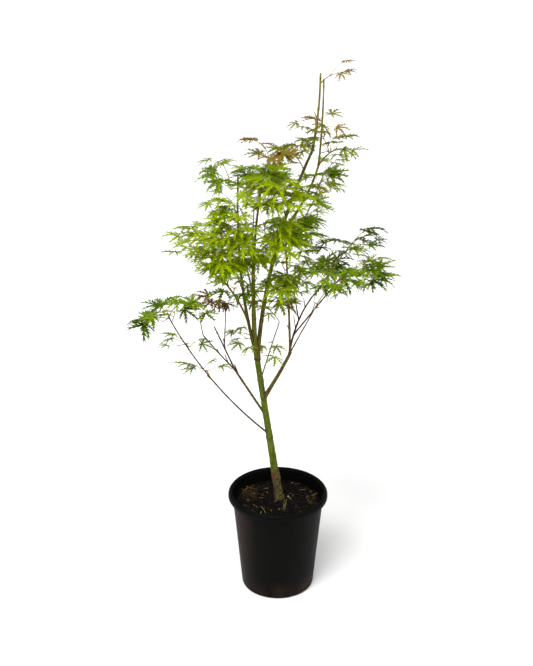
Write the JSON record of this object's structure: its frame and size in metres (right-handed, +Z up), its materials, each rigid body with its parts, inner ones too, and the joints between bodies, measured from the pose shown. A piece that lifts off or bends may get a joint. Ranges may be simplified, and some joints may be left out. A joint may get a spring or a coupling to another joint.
{
  "type": "potted japanese maple",
  "caption": "Young weeping-leaved maple in a round black nursery pot: a leaning green trunk, thin upright limbs and loose sprays of finely cut green leaves.",
  "frame": {"origin": "centre of the pot's flat underside", "axes": "+Z up along the pot; -Y is the side the plant is seen from; +X to the right as seen from there"},
  "size_m": [0.4853, 0.4083, 1.0771],
  "materials": {
    "black_plastic": "blow-moulded black plastic with a low sheen",
    "compost": "damp dark compost with bark chips",
    "green_bark": "smooth green young bark, brown and rough near the foot",
    "red_bark": "smooth red-brown young bark",
    "leaf": "thin soft green leaves, slightly shiny above",
    "red_leaf": "thin red-brown leaves"
  },
  "bodies": {
    "root": {"pot": "black_plastic", "compost": "compost", "trunk": "green_bark", "low_left_bough": "red_bark", "low_left_side_shoot": "red_bark", "left_bough": "green_bark", "left_outer_bough": "red_bark", "left_inner_bough": "red_bark", "red_shoot": "red_bark", "right_bough": "green_bark", "right_upright": "green_bark", "right_red_bough": "red_bark", "right_red_shoot": "red_bark", "right_outer_bough": "red_bark", "right_under_bough": "green_bark", "purple_shoot": "red_bark", "left_limb": "green_bark", "left_outer_limb": "green_bark", "left_far_bough": "green_bark", "centre_limb": "green_bark", "right_limb": "green_bark", "right_leader": "green_bark", "inner_limb": "green_bark", "inner_leader": "green_bark", "thin_right_shoot": "green_bark", "front_limb": "green_bark", "back_limb": "green_bark", "far_left_spray": "leaf", "low_left_spray": "leaf", "low_left_side_spray": "leaf", "left_low_spray": "leaf", "red_leaf_spray": "red_leaf", "purple_spray": "leaf", "left_tip_spray": "leaf", "left_lower_spray": "leaf", "left_mid_spray": "leaf", "upper_left_spray": "leaf", "left_high_spray": "leaf", "inner_high_spray": "leaf", "top_centre_spray": "leaf", "centre_high_spray": "leaf", "front_spray": "leaf", "front_left_spray": "leaf", "centre_spray": "leaf", "right_high_spray": "leaf", "right_mid_spray": "leaf", "leader_left_spray": "leaf", "leader_mid_spray": "leaf", "leader_right_spray": "leaf", "leader_low_spray": "leaf", "leader_top_spray": "leaf", "right_top_spray": "leaf", "right_far_spray": "leaf", "right_near_spray": "leaf", "right_inner_spray": "leaf", "centre_low_spray": "leaf", "back_spray": "leaf", "back_right_spray": "leaf", "centre_left_spray": "leaf", "low_centre_spray": "leaf"}
  },
  "joints": []
}
